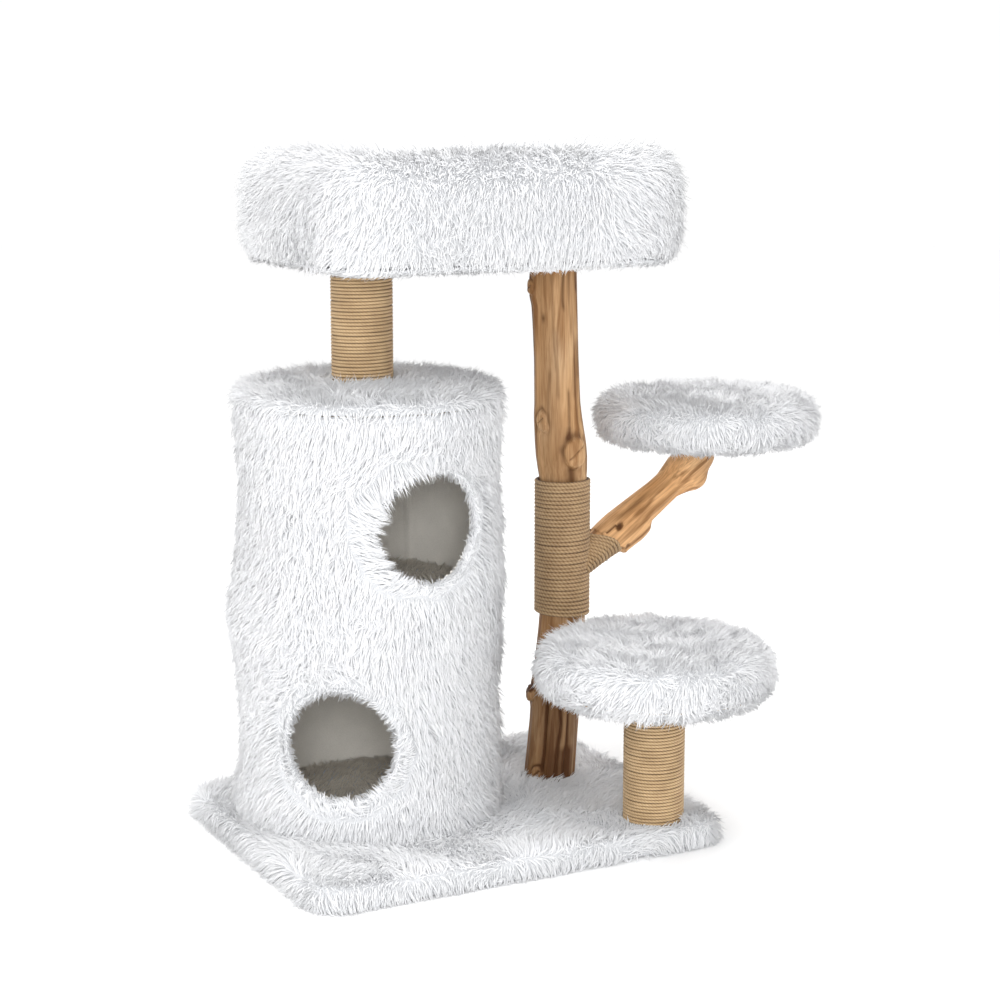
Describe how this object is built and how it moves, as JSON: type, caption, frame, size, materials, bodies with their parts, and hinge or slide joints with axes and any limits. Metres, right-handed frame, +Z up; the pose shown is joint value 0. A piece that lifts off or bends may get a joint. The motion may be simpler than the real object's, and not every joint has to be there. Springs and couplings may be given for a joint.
{
  "type": "cat tree",
  "caption": "Freestanding cat tree with a plush base, round condo with round doors, natural wood trunk with a branch, round perches, sisal posts and a raised plush bed.",
  "frame": {"origin": "centre of the base board's underside, on the floor", "axes": "+Z up, +X toward the perches, the front with the upper door faces -Y"},
  "size_m": [0.933, 0.6175, 0.961],
  "materials": {
    "plush": "long loose pile",
    "mat": "short pile",
    "felt": "matte",
    "liner": "matte",
    "board": "raw",
    "cardboard": "matte",
    "trunk_wood": "peeled, unvarnished",
    "sisal": "twisted rope",
    "jute": "twisted rope",
    "foam": "matte",
    "bolt_steel": "zinc plated",
    "screw_steel": "zinc plated"
  },
  "bodies": {
    "root": {"base_board": "board", "base_plush": "plush", "base_liner": "liner", "condo_floor": "board", "condo_tube": "cardboard", "condo_mid_floor": "board", "lid_board": "board", "lower_room_lining": "felt", "upper_room_lining": "felt", "lower_room_mat": "mat", "upper_room_mat": "mat", "condo_plush": "plush", "lid_plush": "plush", "lower_door_ring": "plush", "upper_door_ring": "plush", "tube_screws": "screw_steel", "floor_screws": "screw_steel", "lower_post_core": "cardboard", "lower_post_sisal": "sisal", "lower_post_plugs": "board", "upper_post_core": "cardboard", "upper_post_sisal": "sisal", "upper_post_plugs": "board", "post_bolts": "bolt_steel", "post_washers": "bolt_steel", "trunk": "trunk_wood", "branch": "trunk_wood", "trunk_rope": "jute", "branch_rope": "jute", "trunk_lags": "bolt_steel", "branch_bolt": "bolt_steel", "lower_perch_board": "board", "lower_perch_foam": "foam", "lower_perch_plush": "plush", "upper_perch_board": "board", "upper_perch_foam": "foam", "upper_perch_plush": "plush", "upper_perch_screws": "screw_steel", "bed_board": "board", "bed_underside": "plush", "bed_rim": "plush", "bed_cushion": "mat"}
  },
  "joints": []
}
